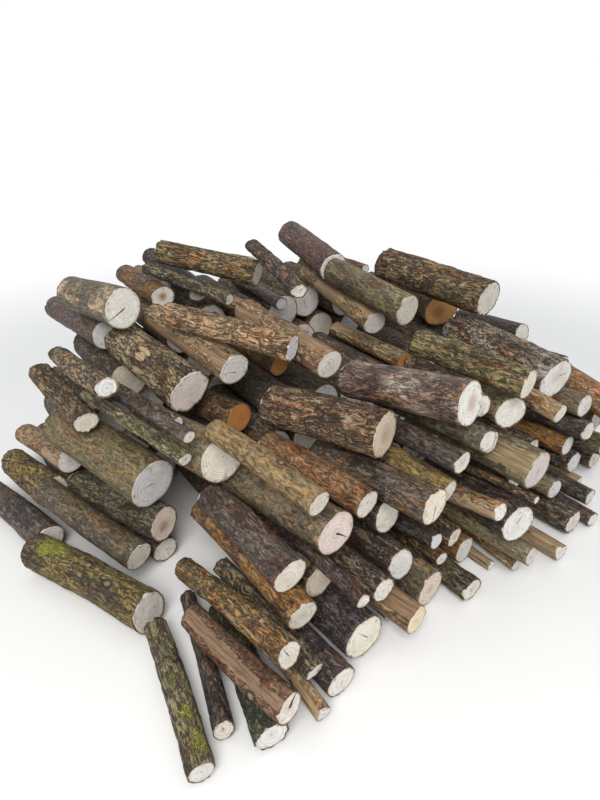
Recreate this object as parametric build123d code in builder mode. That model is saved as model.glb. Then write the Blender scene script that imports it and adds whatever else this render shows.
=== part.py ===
from build123d import *
import math
import os

import numpy as np

# A heap of sawn firewood logs as it was thrown down. +X runs along the heap's front, +Y goes into the
# heap, +Z is up, and the sawn front ends look towards -Y. Lengths are in millimetres, angles in degrees.
# A log is given by its place in plan and by its size. Its height and its slope are not given: one after
# the other, the logs roll and sink onto the ground and onto the logs laid before them.

# Sizes that hold for every log
seat_gap = 0.7            # clearance left where a log rests on another one
thickness_scale = 1.0     # thickness of every listed log, against its diameters in the list
length_scale = 1.0        # length of every listed log, against its length in the list
log_sides = 16            # flats round a listed log
hidden_sides = 12         # flats round a hidden log: a multiple of 6, so that packed logs meet flat to flat

# How a log finds its place
steepest = 8              # a log slopes by no more than this
roll = 40                 # it rolls sideways by no more than this
roll_step = 8             # places tried while it rolls
grip = 0.45               # it rolls where that lowers it by more than this share of the way
grid_step = 10            # spacing of the coarse height grid

# Hidden courses: plain logs packed side by side. Each course is given by its first and last log, counted
# from the left, and every second course is moved by half a log.
middle_log = 150
middle_length = 480
middle_left = 580
middle_front = 770
middle_courses = [(0, 11), (0, 10), (0, 10), (1, 8)]
back_log = 165
back_length = 500
back_left = 110
back_front = 1310
back_stagger = 45         # the ends of the back courses stand in and out by this much
back_courses = [(0, 13), (0, 12), (1, 12), (1, 11), (3, 9)]

# Logs in the order in which they were laid. Columns: node, middle of the front end (x, y), turn about
# the vertical (positive leans left going back), length, diameter at the front and at the back, sideways
# bow, how oval the section is and where its long axis points.
LOGS = [
    # Ground course on the left, and the layer on it
    ("dark_logs_1", -80, 1060, 15, 480, 126, 110, 8, 0.05, 20),
    ("furrowed_logs_1", 0, 1200, 10, 440, 148, 130, -6, 0.06, 70),
    ("mossy_logs_1", 90, 500, 24, 550, 162, 150, 10, 0.08, 110),
    ("smooth_logs_1", 170, 710, 21, 520, 110, 102, -8, 0.03, 0),
    ("mossy_logs_2", 0, -20, -9, 500, 88, 80, 8, 0.06, 40),
    ("dark_logs_2", 90, 50, -14, 510, 74, 68, 5, 0.1, 90),
    ("mossy_logs_3", 180, -40, -11, 480, 104, 92, 8, 0.08, 30),
    ("tan_logs_1", 310, -70, 3, 420, 52, 48, 4, 0.06, 0),
    ("rusty_logs_1", 250, -70, 8, 460, 96, 86, -10, 0.12, 60),
    ("dark_logs_3", 430, -20, 5, 490, 112, 104, 5, 0.04, 0),
    ("dark_logs_4", 570, 40, 4, 500, 156, 148, 0, 0.05, 15),
    ("dark_logs_5", 260, 780, 14, 480, 110, 104, 0, 0.06, 0),
    ("mossy_logs_4", 250, 750, 21, 490, 140, 128, 8, 0.06, 60),
    ("tan_logs_2", 80, 1210, 11, 450, 108, 96, 6, 0.06, 0),
    ("smooth_logs_2", 240, 770, 19, 510, 190, 172, 8, 0.02, 0),
    ("furrowed_logs_2", 380, 10, 6, 470, 72, 66, 5, 0.14, 20),
    ("mossy_logs_5", 290, 10, 7, 540, 98, 86, 12, 0.06, 80),
    ("dark_logs_6", 760, 110, 4, 450, 66, 58, 5, 0.1, 0),
    ("tan_logs_3", 740, -10, 8, 460, 96, 86, 6, 0.08, 45),
    ("furrowed_logs_3", 540, 200, 3, 480, 130, 120, 0, 0.05, 0),
    ("dark_logs_1", 530, -10, 0, 480, 54, 50, 8, 0.05, 0),
    ("furrowed_logs_4", 690, 80, 5, 490, 104, 96, 0, 0.06, 0),
    ("smooth_logs_3", 910, 90, 3, 480, 120, 110, 4, 0.16, 60),
    ("rusty_logs_2", 400, 110, 4, 560, 110, 102, 8, 0.04, 0),
    ("furrowed_logs_5", 110, 1000, 6, 440, 104, 96, 0, 0.08, 0),
    ("smooth_logs_4", 570, 170, 8, 480, 144, 136, 0, 0.07, 10),
    ("furrowed_logs_6", 850, 150, 2, 480, 136, 124, 6, 0.12, 120),
    ("dark_logs_2", 820, 230, 6, 490, 136, 126, 0, 0.06, 90),
    ("dark_logs_5", 430, 160, 4, 440, 118, 106, 8, 0.06, 30),
    # Front foot and front wall to the right of the middle
    ("furrowed_logs_1", 1020, 20, 4, 480, 100, 92, 4, 0.06, 0),
    ("rusty_logs_3", 990, 130, 0, 460, 62, 58, 4, 0.05, 0),
    ("dark_logs_3", 990, 150, 8, 470, 74, 68, 4, 0.05, 0),
    ("smooth_logs_1", 1210, 80, 0, 430, 50, 46, 3, 0.2, 30),
    ("tan_logs_4", 1240, 20, 6, 460, 70, 64, 5, 0.05, 0),
    ("rusty_logs_1", 1180, 160, 5, 470, 110, 98, -5, 0.09, 60),
    ("dark_logs_4", 1220, 150, 2, 440, 48, 44, 3, 0.05, 0),
    ("smooth_logs_2", 1210, -60, 8, 480, 80, 72, 4, 0.12, 130),
    ("tan_logs_5", 1450, -30, 3, 460, 88, 80, 3, 0.16, 150),
    ("dark_logs_6", 1170, -10, -6, 440, 144, 132, 6, 0.05, 0),
    ("furrowed_logs_3", 1630, 40, 5, 490, 116, 104, 4, 0.08, 0),
    ("dark_logs_1", 1730, 20, 0, 450, 72, 66, 3, 0.06, 0),
    ("furrowed_logs_2", 1110, 150, 3, 480, 88, 80, 4, 0.08, 60),
    ("dark_logs_4", 840, 50, 9, 490, 124, 114, 5, 0.08, 20),
    ("tan_logs_3", 1140, 10, 6, 470, 70, 64, 4, 0.06, 0),
    ("rusty_logs_2", 1220, -30, 4, 420, 38, 34, 2, 0.05, 0),
    ("smooth_logs_5", 1620, 140, 2, 470, 86, 80, 3, 0.08, 0),
    ("tan_logs_2", 1830, 180, 6, 440, 100, 94, 0, 0.22, 20),
    ("dark_logs_5", 1810, 70, 4, 470, 80, 74, 3, 0.06, 0),
    ("dark_logs_1", 1260, 110, 8, 480, 88, 80, 4, 0.06, 0),
    ("smooth_logs_3", 1260, 10, 4, 490, 136, 126, 0, 0.06, 30),
    ("furrowed_logs_4", 1660, 270, 8, 470, 88, 80, 3, 0.06, 0),
    ("smooth_logs_3", 410, 570, 8, 500, 164, 152, 0, 0.03, 0),
    ("smooth_logs_5", 490, 150, 13, 440, 86, 78, 6, 0.05, 0),
    ("rusty_logs_3", 680, 180, 12, 440, 106, 98, 10, 0.05, 0),
    ("rusty_logs_4", 910, 100, 12, 440, 104, 94, 6, 0.08, 0),
    # Left flank, laid against the inner courses
    ("furrowed_logs_6", 200, 1220, 7, 470, 98, 90, 4, 0.1, 45),
    ("mossy_logs_6", 310, 590, 18, 510, 62, 58, 5, 0.06, 0),
    ("furrowed_logs_1", 340, 740, 11, 550, 62, 54, -6, 0.06, 0),
    ("dark_logs_2", 320, 580, 11, 520, 52, 48, 6, 0.06, 0),
    ("dark_logs_3", 970, 110, 8, 440, 92, 86, 4, 0.06, 0),
    ("smooth_logs_1", 1030, 80, 4, 480, 78, 72, 0, 0.06, 0),
    ("furrowed_logs_5", 1180, 130, 2, 480, 88, 80, 0, 0.1, 70),
    ("mossy_logs_1", 1250, 160, -11, 440, 138, 126, 0, 0.08, 10),
    # Front wall towards the right end
    ("furrowed_logs_6", 1820, 200, 5, 480, 116, 106, 4, 0.06, 0),
    ("mossy_logs_2", 1870, 130, 3, 480, 104, 96, 0, 0.06, 0),
    ("rusty_logs_4", 1740, 210, 6, 480, 96, 88, 3, 0.06, 0),
    ("dark_logs_4", 1780, 150, 2, 480, 94, 86, 4, 0.06, 0),
    ("dark_logs_6", 1490, 250, 5, 480, 118, 108, 4, 0.06, 0),
    ("furrowed_logs_2", 1610, 270, 2, 480, 124, 114, -4, 0.05, 45),
    ("tan_logs_1", 1400, 80, 5, 480, 74, 68, 3, 0.06, 0),
    ("smooth_logs_2", 1920, 220, 0, 480, 82, 78, 2, 0.06, 0),
    # Right end, beyond what the view shows
    ("furrowed_logs_3", 2120, 260, 5, 490, 118, 108, 4, 0.06, 30),
    ("tan_logs_5", 2230, 380, -4, 470, 104, 94, 5, 0.08, 0),
    ("dark_logs_2", 2100, 350, 9, 480, 92, 84, 4, 0.07, 60),
    ("smooth_logs_3", 1790, 190, 4, 480, 104, 94, 3, 0.1, 0),
    ("mossy_logs_4", 2400, 700, 12, 500, 128, 116, 6, 0.05, 0),
    ("rusty_logs_2", 2350, 640, -8, 470, 96, 88, 4, 0.08, 45),
    ("furrowed_logs_5", 2260, 590, 4, 500, 112, 102, 5, 0.05, 0),
    ("smooth_logs_4", 2400, 1300, -6, 500, 120, 110, 4, 0.05, 0),
    ("rusty_logs_4", 2340, 1240, 7, 480, 90, 84, 3, 0.07, 0),
    ("dark_logs_3", 2220, 820, -10, 490, 106, 98, 5, 0.06, 90),
    # Top of the front wall
    ("furrowed_logs_2", 160, 860, 2, 560, 94, 86, -8, 0.08, 0),
    ("rusty_logs_1", 610, 810, 14, 440, 130, 118, 4, 0.04, 0),
    ("rusty_logs_2", 760, 840, 9, 440, 104, 96, 4, 0.04, 0),
    ("furrowed_logs_3", 800, 270, 22, 440, 178, 162, 8, 0.04, 15),
    ("dark_logs_2", 970, 110, 13, 460, 158, 144, 6, 0.03, 0),
    ("furrowed_logs_1", 1170, 180, -15, 440, 102, 94, 4, 0.05, 0),
    ("furrowed_logs_4", 410, 850, 9, 470, 172, 154, 0, 0.07, 30),
    ("dark_logs_6", 350, 1400, 6, 560, 138, 126, 6, 0.05, 0),
    ("tan_logs_4", 1910, 110, -8, 520, 124, 114, 10, 0.05, 0),
    ("mossy_logs_3", 1270, 110, 10, 440, 114, 104, 5, 0.07, 50),
    ("furrowed_logs_2", 1550, 200, -4, 520, 172, 160, 4, 0.09, 25),
    ("tan_logs_5", 1340, 730, 3, 440, 82, 76, 2, 0.1, 0),
    # Upper layer behind it
    ("tan_logs_2", 590, 780, 9, 520, 124, 108, 8, 0.05, 0),
    ("tan_logs_3", 830, 560, 5, 500, 112, 102, -6, 0.05, 0),
    ("tan_logs_1", 1240, 820, -6, 560, 106, 100, 6, 0.05, 0),
    ("mossy_logs_4", 760, 650, 31, 500, 108, 96, 8, 0.05, 60),
    ("smooth_logs_4", 1260, 660, 4, 440, 122, 112, 5, 0.06, 90),
    ("smooth_logs_5", 1780, 970, -10, 440, 188, 172, 0, 0.04, 0),
    ("rusty_logs_3", 1490, 980, -5, 440, 88, 82, 3, 0.05, 0),
    ("furrowed_logs_6", 1630, 590, 9, 540, 168, 154, 8, 0.06, 20),
    # Crest
    ("smooth_logs_1", 360, 1190, 9, 450, 154, 138, 5, 0.04, 60),
    ("rusty_logs_4", 580, 1380, 0, 440, 108, 100, 4, 0.05, 0),
    ("smooth_logs_2", 680, 1600, -5, 440, 66, 60, 3, 0.05, 0),
    ("dark_logs_1", 800, 1440, 1, 440, 72, 66, 3, 0.05, 0),
    ("tan_logs_4", 930, 860, 15, 560, 72, 64, 12, 0.05, 0),
    ("dark_logs_5", 720, 1330, 4, 440, 100, 94, 5, 0.05, 0),
    ("furrowed_logs_3", 780, 1120, 24, 440, 70, 64, 4, 0.05, 0),
    ("furrowed_logs_5", 890, 1160, 40, 440, 128, 116, 6, 0.08, 0),
    ("dark_logs_4", 1030, 1160, -2, 440, 64, 58, 4, 0.05, 0),
    ("furrowed_logs_2", 850, 780, -9, 460, 76, 70, 8, 0.08, 0),
    ("smooth_logs_3", 1120, 1610, -2, 440, 78, 72, 5, 0.05, 0),
    ("dark_logs_3", 1240, 1110, -10, 480, 136, 124, 4, 0.05, 40),
    ("rusty_logs_2", 1580, 1330, 2, 440, 54, 50, 3, 0.05, 0),
]


class Log:
    """A tapered stem with flats, measured across them. In its own frame u points across, v up and w along it."""

    def __init__(self, node, x, y, turn, length, front_d, back_d, bow=0, oval=0, oval_at=0, sides=log_sides):
        self.node = node
        self.front = np.array([x, y, 0.0])
        self.turn = math.radians(turn)
        self.aside = np.array([math.cos(self.turn), math.sin(self.turn)])
        self.ahead = np.array([-math.sin(self.turn), math.cos(self.turn)])
        self.length = length
        self.radii = (front_d / 2, back_d / 2)
        self.bow = bow
        self.sector = 2 * math.pi / sides
        self.corners = (np.arange(sides) + 0.5) * self.sector
        self.reach = (1 + oval * np.cos(2 * (self.corners - math.radians(oval_at)))) / math.cos(self.sector / 2)
        self.under, self.over = self.skin(2 * sides, 11, 2 * sides)
        self.fine_under, self.fine_over = self.skin(2 * sides, 241, 16 * sides)

    def skin(self, around, stations, rim):
        """Points on the surface, closer on the rims of its ends: those of its lower and of its upper side."""
        side = np.meshgrid(np.arange(around) * 2 * np.pi / around, np.linspace(0, self.length, stations))
        rims = np.meshgrid(np.arange(rim) * 2 * np.pi / rim, [0, self.length])
        angle, along = (np.append(a, b) for a, b in zip(side, rims))
        radius = self.radius(angle, along)
        points = np.stack([radius * np.cos(angle) + self.offset(along), radius * np.sin(angle), along], -1)
        return points[np.sin(angle) < 0.3], points[np.sin(angle) > -0.3]

    def thickness(self, along):
        """Half the thickness at a distance from the front end."""
        return self.radii[0] + (self.radii[1] - self.radii[0]) * np.clip(along / self.length, 0, 1)

    def radius(self, angle, along):
        """Radius of the flat between two corners, in the direction of an angle."""
        turns = angle / self.sector - 0.5
        corner = np.floor(turns).astype(int)
        past = (turns - corner) * self.sector
        one = self.reach[corner % len(self.reach)]
        two = self.reach[(corner + 1) % len(self.reach)]
        flat = one * two * math.sin(self.sector) / (one * np.sin(self.sector - past) + two * np.sin(past))
        return self.thickness(along) * flat

    def offset(self, along):
        """Sideways bow of the middle line: nothing at the ends, most in the middle."""
        share = np.clip(along / self.length, 0, 1)
        return self.bow * (1 - np.abs(2 * share - 1))

    def outside(self, points):
        """How far points in the log's own frame lie outside it. Negative is inside."""
        u = points[..., 0] - self.offset(points[..., 2])
        v = points[..., 1]
        w = points[..., 2]
        side = np.hypot(u, v) - self.radius(np.arctan2(v, u), w)
        end = np.maximum(-w, w - self.length)
        corner = np.hypot(np.maximum(side, 0), np.maximum(end, 0))
        return np.where((side > 0) & (end > 0), corner, np.maximum(side, end))

    def turned(self, rises):
        """Directions u, v and w for several rises of the back end over the front end."""
        flat = np.sqrt(self.length**2 - rises**2) / self.length
        zero = np.zeros_like(rises)
        across = np.stack([zero + math.cos(self.turn), zero + math.sin(self.turn), zero], -1)
        along = np.stack([-math.sin(self.turn) * flat, math.cos(self.turn) * flat, rises / self.length], -1)
        return np.stack([across, np.cross(across, along), along], -1)

    def lie(self, height, rise):
        """Fix the log where it rests."""
        self.front[2] = height
        self.axes = self.turned(np.array([rise]))[0]
        self.top = self.over @ self.axes.T + self.front
        self.fine_top = self.fine_over @ self.axes.T + self.front
        bottom = self.fine_under @ self.axes.T + self.front
        self.low = np.minimum(self.fine_top.min(0), bottom.min(0))
        self.high = np.maximum(self.fine_top.max(0), bottom.max(0))


def heights(log, shifts, rises, laid, fine=False):
    """Height of the front end at which the log just rests, for pairs of a sideways shift and a rise."""
    axes = log.turned(rises)
    start = log.front[:2] + shifts[:, None] * log.aside
    under = np.einsum("pij,nj->pni", axes, log.fine_under if fine else log.under)
    on_floor = -under[..., 2].min(1)
    under[..., :2] += start[:, None]
    low = under[..., :2].min((0, 1)) - 5
    high = under[..., :2].max((0, 1)) + 5
    near = [n for n in laid if (n.low[:2] < high).all() and (n.high[:2] > low).all()]
    if not near:
        return on_floor
    height = max(n.high[2] for n in near) + on_floor
    tops = np.concatenate([n.fine_top if fine else n.top for n in near])
    tops = tops[((tops[:, :2] > low) & (tops[:, :2] < high)).all(1)]
    for _ in range(40 if fine else 12):
        lifted = under + height[:, None, None] * np.array([0, 0, 1.0])
        step = np.min([n.outside((lifted - n.front) @ n.axes).min(1) for n in near], axis=0)
        own = np.einsum("pnk,pkl->pnl", tops - np.append(start, height[:, None], 1)[:, None], axes)
        step = np.minimum(step, log.outside(own).min(1, initial=np.inf)) - seat_gap
        height = np.maximum(height - step, on_floor)
        if np.abs(step[height > on_floor]).max(initial=0) < (0.02 if fine else 0.5):
            break
    return height


class HeightGrid:
    """Height of the ground and of what lies on it, on a square grid, for a first, coarse search."""

    def __init__(self, logs):
        reach = max(log.length + log.radii[0] + roll for log in logs)
        starts = np.array([log.front[:2] for log in logs])
        self.corner = starts.min(0) - reach
        cells = np.ceil((starts.max(0) + reach - self.corner) / grid_step).astype(int)
        self.height = np.zeros(cells)

    def under_log(self, log, shift):
        """Cells below a log, with their distance across and along it, and its half thickness there."""
        reach = max(log.radii)
        start = log.front[:2] + shift * log.aside
        ends = np.array([start, start + log.length * log.ahead])
        first = np.floor((ends.min(0) - reach - self.corner) / grid_step).astype(int)
        last = np.ceil((ends.max(0) + reach - self.corner) / grid_step).astype(int)
        cells = np.stack(np.meshgrid(*[np.arange(a, b + 1) for a, b in zip(first, last)], indexing="ij"), -1)
        place = cells * grid_step + self.corner - start
        across = place @ log.aside
        along = place @ log.ahead
        inside = (np.abs(across) < reach) & (along > 0) & (along < log.length)
        across, along = across[inside], along[inside]
        return tuple(cells[inside].T), along, np.sqrt(np.maximum(log.thickness(along)**2 - across**2, 0))

    def add(self, log):
        """Raise the cells below a log to its upper side."""
        cells, along, half = self.under_log(log, 0)
        top = log.front[2] + log.axes[2, 2] * along + half
        self.height[cells] = np.maximum(self.height[cells], top)


def rest(log, laid, grid):
    """Let a log roll sideways and sink onto the laid ones, with the slope that lets it lie the lowest."""
    limit = log.length * math.sin(math.radians(steepest))
    rises = np.linspace(-limit, limit, 13)
    lowest = None
    for try_shift in np.arange(-roll, roll + 1, roll_step):
        cells, along, half = grid.under_log(log, try_shift)
        need = grid.height[cells] + half - rises[:, None] * along / log.length
        middle = need.max(1) + rises / 2 + grip * abs(try_shift)
        best = int(np.argmin(middle))
        if lowest is None or middle[best] < lowest:
            lowest, shift, rise = middle[best], try_shift, rises[best]
    finer = np.array([-1, 0, 1])
    for share in (0.5, 0.25, 0.12, 0.06):
        shifts, rises = np.meshgrid(shift + roll_step * share * finer, rise + limit / 6 * share * finer)
        rises = np.clip(rises, -limit, limit)
        height = heights(log, shifts.ravel(), rises.ravel(), laid)
        best = int(np.argmin(height + rises.ravel() / 2 + 0.02 * np.abs(shifts.ravel() - shift)))
        shift, rise = shifts.ravel()[best], rises.ravel()[best]
    log.front[:2] += shift * log.aside
    log.lie(heights(log, np.array([0.0]), np.array([rise]), laid, fine=True)[0], rise)


def course(node, level, ends, left, front, length, thick, stagger=0):
    """One course of plain logs, side by side, that share two nodes by turns."""
    pitch = thick + seat_gap
    stems = []
    for i in range(ends[0], ends[1] + 1):
        stem = Log(f"{node}_{2 * level + i % 2 + 1}", left + (i + level % 2 / 2) * pitch,
                   front + stagger * math.sin(2.4 * i + level), 0, length, thick, thick, sides=hidden_sides)
        stem.lie(thick / 2 + level * pitch * math.sin(math.radians(60)), 0)
        stems.append(stem)
    return stems


laid = []
for level, ends in enumerate(middle_courses):
    laid += course("middle_course", level, ends, middle_left, middle_front, middle_length, middle_log)
for level, ends in enumerate(back_courses):
    laid += course("back_course", level, ends, back_left, back_front, back_length, back_log, back_stagger)
listed = [Log(node, x, y, turn, length * length_scale, front_d * thickness_scale, back_d * thickness_scale,
              bow, oval, oval_at) for node, x, y, turn, length, front_d, back_d, bow, oval, oval_at in LOGS]
grid = HeightGrid(laid + listed)
for log in laid:
    grid.add(log)
for log in listed:
    rest(log, laid, grid)
    grid.add(log)
    laid.append(log)

# Solids. The origin is on the ground, below the middle of the heap.
low = np.min([log.low for log in laid], axis=0)
high = np.max([log.high for log in laid], axis=0)
origin = np.array([(low[0] + high[0]) / 2, (low[1] + high[1]) / 2, low[2]])


def section_plane(log, along):
    """Plane across a log at a distance from its front end, with the middle of the section as its origin."""
    middle = log.front - origin + log.axes @ np.array([log.offset(along), 0, along])
    return Plane(origin=tuple(middle), x_dir=tuple(log.axes[:, 0]), z_dir=tuple(-log.axes[:, 2]))


os.makedirs("parts", exist_ok=True)
for node in dict.fromkeys(log.node for log in laid):
    with BuildPart() as stems:
        for log in [log for log in laid if log.node == node]:
            for along in (0, log.length / 2, log.length) if log.bow else (0, log.length):
                radius = log.thickness(along) * log.reach
                with BuildSketch(section_plane(log, along)):
                    with BuildLine():
                        Polyline(*zip(radius * np.cos(log.corners), radius * np.sin(log.corners)), close=True)
                    make_face()
            loft(ruled=True)
    stems.part.label = node
    export_step(stems.part, f"parts/{node}.step")
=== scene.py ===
# %% [markdown]
# # A heap of firewood logs
# The real object is a loose heap of sawn logs. Some have smooth bark, others deep furrows, moss or
# peeled patches, and most of their sawn ends are pale and face the front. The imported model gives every
# log as a plain prism with flats. This lesson reads each log's axis and section back from that model, and
# lays a new skin over it, with bark relief, ragged bark edges and sawn faces. The skin only ever goes
# inwards from the prism, so logs that rest on each other in the model still do.

# %% Load the frame
import math
from collections import namedtuple

import bpy
import numpy as np
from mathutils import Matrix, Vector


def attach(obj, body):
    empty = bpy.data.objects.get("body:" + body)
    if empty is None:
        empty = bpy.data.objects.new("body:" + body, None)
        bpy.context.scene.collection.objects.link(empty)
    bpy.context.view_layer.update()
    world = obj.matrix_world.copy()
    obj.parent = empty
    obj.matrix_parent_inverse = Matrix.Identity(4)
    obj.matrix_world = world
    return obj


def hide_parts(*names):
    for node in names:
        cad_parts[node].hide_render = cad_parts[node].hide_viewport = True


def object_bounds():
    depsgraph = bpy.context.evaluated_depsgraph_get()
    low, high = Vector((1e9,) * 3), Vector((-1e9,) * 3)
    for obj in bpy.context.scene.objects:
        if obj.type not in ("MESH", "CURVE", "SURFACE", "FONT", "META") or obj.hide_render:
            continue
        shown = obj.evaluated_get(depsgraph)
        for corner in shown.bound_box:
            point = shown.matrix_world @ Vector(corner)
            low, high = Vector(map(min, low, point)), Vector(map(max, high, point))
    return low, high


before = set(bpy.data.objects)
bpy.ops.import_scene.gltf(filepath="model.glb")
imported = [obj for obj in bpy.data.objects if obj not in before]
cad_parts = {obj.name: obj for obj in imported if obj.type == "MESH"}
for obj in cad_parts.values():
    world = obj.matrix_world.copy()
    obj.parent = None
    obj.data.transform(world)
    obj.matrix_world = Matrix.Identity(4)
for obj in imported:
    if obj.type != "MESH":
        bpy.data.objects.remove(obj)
cad_low, cad_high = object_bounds()
nodes = sorted(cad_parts)
print(len(nodes), "nodes, box", [round(v, 3) for v in cad_low], [round(v, 3) for v in cad_high])

# %% [markdown]
# ## Read the logs back
# A node's mesh is loose triangles, so equal corners are merged first. Triangles that share a corner
# belong to one log. Its sawn ends are flat, and their normal is the log's own direction. Measured in the
# log's own frame (u across, v up, w along it), the corners give its radius, taper, bow and oval section.

# %% Find the separate logs of a node
AT_END = 1e-4  # metres: a corner this close to the plane of an end belongs to that end
BETWEEN = 1e-3  # and one further from both ends than this is in the middle


def merged(node):
    """Corner points and triangles of a node, equal points made one."""
    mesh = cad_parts[node].data
    points = np.empty(3 * len(mesh.vertices))
    mesh.vertices.foreach_get("co", points)
    faces = np.empty(len(mesh.loops), int)
    mesh.loops.foreach_get("vertex_index", faces)
    points = points.reshape(-1, 3)
    _, first, same = np.unique(np.round(points, 5), axis=0, return_index=True, return_inverse=True)
    return points[first], same.reshape(-1)[faces].reshape(-1, 3)


def groups(points, faces):
    """The number of the connected group of each point: the lowest number spreads over every triangle."""
    group = np.arange(len(points))
    while True:
        wider = group.copy()
        np.minimum.at(wider, faces, group[faces].min(1)[:, None])
        if (wider == group).all():
            return group
        group = wider


def measured(points, faces):
    """One log's own frame and form: its end radii, the oval as their second harmonic, and its bow."""
    middle = points.mean(0)
    rough = np.linalg.svd(points - middle, full_matrices=False)[2][0]
    rough *= np.sign(rough[1])
    a, b, c = points[faces].transpose(1, 0, 2)
    normals = np.cross(b - a, c - a)
    size = np.linalg.norm(normals, axis=1)
    front = normals[normals @ rough < -0.9 * size].sum(0)
    w = -front / np.linalg.norm(front)
    u = np.cross(w, [0, 0, 1])
    u /= np.linalg.norm(u)
    v = np.cross(u, w)
    along = (points - middle) @ w
    start = points[along < along.min() + AT_END].mean(0)
    own = (points - start) @ np.array([u, v, w]).T
    length = own[:, 2].max()
    ends = []
    for there in (own[:, 2] < AT_END, own[:, 2] > length - AT_END):
        radius = np.hypot(*own[there, :2].T)
        twice = 2 * np.arctan2(own[there, 1], own[there, 0])
        ends.append([radius.mean(), 2 * (radius * np.cos(twice)).mean(), 2 * (radius * np.sin(twice)).mean()])
    between = (own[:, 2] > BETWEEN) & (own[:, 2] < length - BETWEEN)
    return {"start": start, "axes": np.array([u, v, w]), "length": length,
            "flats": int((own[:, 2] < AT_END).sum()), "radii": (ends[0][0], ends[1][0]),
            "oval": (ends[0][1] / ends[0][0], ends[0][2] / ends[0][0]),
            "bow": own[between, 0].mean() if between.any() else 0.0}


logs = []
for node in nodes:
    points, faces = merged(node)
    group = groups(points, faces)
    found = []
    for number in np.unique(group):
        mine = group == number
        place = np.cumsum(mine) - 1
        found.append(measured(points[mine], place[faces[mine[faces[:, 0]]]]))
    found.sort(key=lambda log: log["start"][0])
    for rank, log in enumerate(found):
        logs.append({**log, "node": node, "rank": rank, "family": node.rsplit("_", 2)[0]})
print(len(logs), "logs, the thickest", round(2 * max(log["radii"][0] for log in logs), 3), "m")

# %% [markdown]
# ## Smooth random relief
# Bark has no pattern that repeats, so its relief comes from noise: every whole-number cell of space has
# a fixed random number, and a point between the cells gets an eased mix of the eight round it. The
# numbers come from the cell's own place, so each run makes the same bark.

# %% Noise on whole arrays


def cell_number(cells, seed):
    """A fixed number from 0 to 1 for each cell: its three place numbers are mixed bit by bit."""
    x, y, z = cells[..., 0], cells[..., 1], cells[..., 2]
    mixed = x * 73856093 ^ y * 19349663 ^ z * 83492791 ^ seed * 2654435761
    mixed = (mixed ^ mixed >> 13) * 1274126177 & 0x7FFFFFFF
    return ((mixed ^ mixed >> 16) & 0xFFFF) / 65535


def noise(points, seed=0):
    """Relief from -1 to 1: the eight cells round a point, mixed by the eased share 3t² - 2t³ of the way."""
    low = np.floor(points).astype(np.int64)
    t = points - low
    t = t * t * (3 - 2 * t)
    total = 0
    for corner in np.ndindex(2, 2, 2):
        total = total + np.prod(np.where(corner, t, 1 - t), -1) * cell_number(low + np.array(corner), seed)
    return 2 * total - 1


def eased(low, high, value):
    """0 below low, 1 above high, and an eased rise between them."""
    t = np.clip((value - low) / (high - low), 0, 1)
    return t * t * (3 - 2 * t)


print("noise from", round(noise(np.random.default_rng(1).random((999, 3)) * 50).min(), 2))

# %% [markdown]
# ## What sets the kinds of bark apart
# Each kind is a few sizes: how lobed the stem is, how deep and how wide its furrows run, how lumpy the
# surface is, and how thick the bark is where the saw cut it. Sizes are in metres. The colours are those
# of the ridges, of the furrows, and of small pale flecks. Algae and weather leave broad stains as well.

# %% Kinds of bark
Bark = namedtuple("Bark", "lobes furrow width length lumps thickness peeled moss")
KINDS = {
    # lobes are a share of the radius, peeled and moss are shares of the skin
    "smooth": Bark(0.050, 0.0010, 0.016, 0.10, 0.0020, 0.0028, 0.04, 0.10),
    "dark": Bark(0.070, 0.0028, 0.012, 0.09, 0.0034, 0.0036, 0.06, 0.10),
    "rusty": Bark(0.070, 0.0028, 0.014, 0.08, 0.0034, 0.0040, 0.10, 0.10),
    "furrowed": Bark(0.080, 0.0055, 0.015, 0.11, 0.0045, 0.0060, 0.07, 0.14),
    "mossy": Bark(0.080, 0.0044, 0.016, 0.09, 0.0042, 0.0055, 0.05, 0.34),
    "tan": Bark(0.060, 0.0014, 0.010, 0.16, 0.0016, 0.0026, 0.50, 0.04),
    "middle": Bark(0.030, 0.0020, 0.016, 0.10, 0.0014, 0.0050, 0.04, 0.08),
    "back": Bark(0.050, 0.0030, 0.016, 0.10, 0.0020, 0.0050, 0.06, 0.12),
}
BARK_COLOURS = {
    # ridge, furrow, fleck
    "smooth": ((0.17, 0.143, 0.092), (0.06, 0.048, 0.032), (0.36, 0.33, 0.255)),
    "dark": ((0.098, 0.074, 0.064), (0.014, 0.011, 0.01), (0.27, 0.225, 0.19)),
    "rusty": ((0.16, 0.095, 0.052), (0.028, 0.017, 0.012), (0.36, 0.24, 0.13)),
    "furrowed": ((0.165, 0.126, 0.086), (0.024, 0.018, 0.013), (0.38, 0.31, 0.225)),
    "mossy": ((0.135, 0.11, 0.066), (0.026, 0.021, 0.014), (0.31, 0.285, 0.18)),
    "tan": ((0.285, 0.19, 0.105), (0.08, 0.048, 0.027), (0.52, 0.405, 0.26)),
    "middle": ((0.11, 0.086, 0.064), (0.03, 0.022, 0.017), (0.24, 0.195, 0.145)),
    "back": ((0.15, 0.118, 0.082), (0.028, 0.021, 0.015), (0.32, 0.262, 0.19)),
}
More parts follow.
